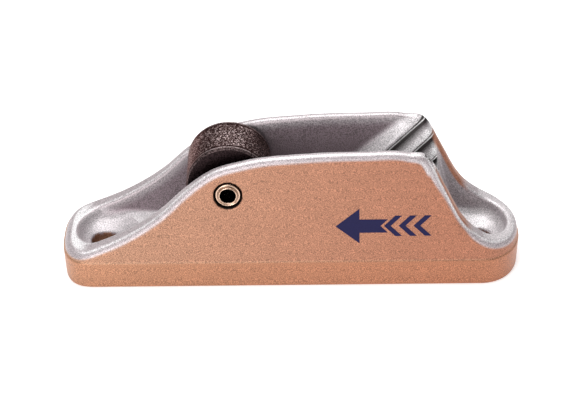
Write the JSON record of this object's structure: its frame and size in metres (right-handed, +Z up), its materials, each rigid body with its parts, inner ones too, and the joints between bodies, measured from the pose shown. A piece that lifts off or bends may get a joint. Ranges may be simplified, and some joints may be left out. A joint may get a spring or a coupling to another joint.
{
  "type": "jam cleat with fairlead roller",
  "caption": "Cast channel cleat that jams a thin rope in a toothed V groove, with a plain fairlead roller turning on a hollow rivet at its load end.",
  "frame": {"origin": "middle of the base's flat underside", "axes": "+X along the rope from the load end (roller) to the tail end (V block), +Y across, +Z up out of the base"},
  "size_m": [0.082, 0.0202, 0.0258],
  "materials": {
    "cast_alloy": "satin, fine grain, bright on the rim",
    "dark_roller": "hard anodised, turned, bright chamfers",
    "rivet_metal": "bright rolled",
    "washer_plastic": "moulded"
  },
  "bodies": {
    "body": {"cleat_body": "cast_alloy", "hollow_rivet": "rivet_metal", "near_washer": "washer_plastic", "far_washer": "washer_plastic"},
    "roller": {"roller": "dark_roller"}
  },
  "joints": [
    {"name": "roller_spin", "type": "hinge", "parent": "body", "child": "roller", "pos_m": [-0.01085, 0, 0.0181], "axis": [0, 1, 0], "continuous": true}
  ]
}
